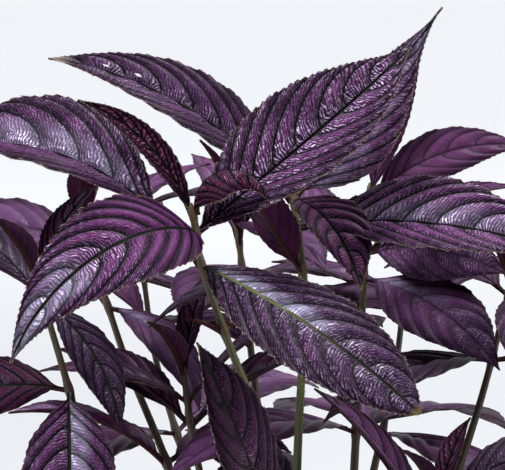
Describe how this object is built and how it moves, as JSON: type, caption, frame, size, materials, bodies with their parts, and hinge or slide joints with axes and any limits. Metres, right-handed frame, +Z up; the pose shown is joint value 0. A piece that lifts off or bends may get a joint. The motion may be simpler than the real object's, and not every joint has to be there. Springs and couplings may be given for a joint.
{
  "type": "potted persian shield plant",
  "caption": "Upright foliage plant with lance-shaped, ribbed purple leaves in opposite pairs on leafy stems, standing in the soil of a plain round pot.",
  "frame": {"origin": "middle of the pot's flat underside", "axes": "+Z up along the pot's axis, the plant's best side faces -Y, +X to the right from there"},
  "size_m": [0.4524, 0.4561, 0.5956],
  "materials": {
    "pot_plastic": "matte dark grey",
    "soil": "damp crumbly potting mix",
    "foliage": "satin purple with silvery bands and green stems"
  },
  "bodies": {
    "root": {"pot": "pot_plastic", "soil": "soil", "leafy_stem_front": "foliage", "leafy_stem_tall": "foliage", "leafy_stem_right_back": "foliage", "leafy_stem_right": "foliage", "leafy_stem_left_back": "foliage", "leafy_stem_left": "foliage", "leafy_stem_back": "foliage", "leafy_stem_middle": "foliage", "leafy_stem_right_low": "foliage", "leafy_stem_back_left": "foliage", "leafy_stem_back_right": "foliage", "leafy_stem_front_low": "foliage"}
  },
  "joints": []
}
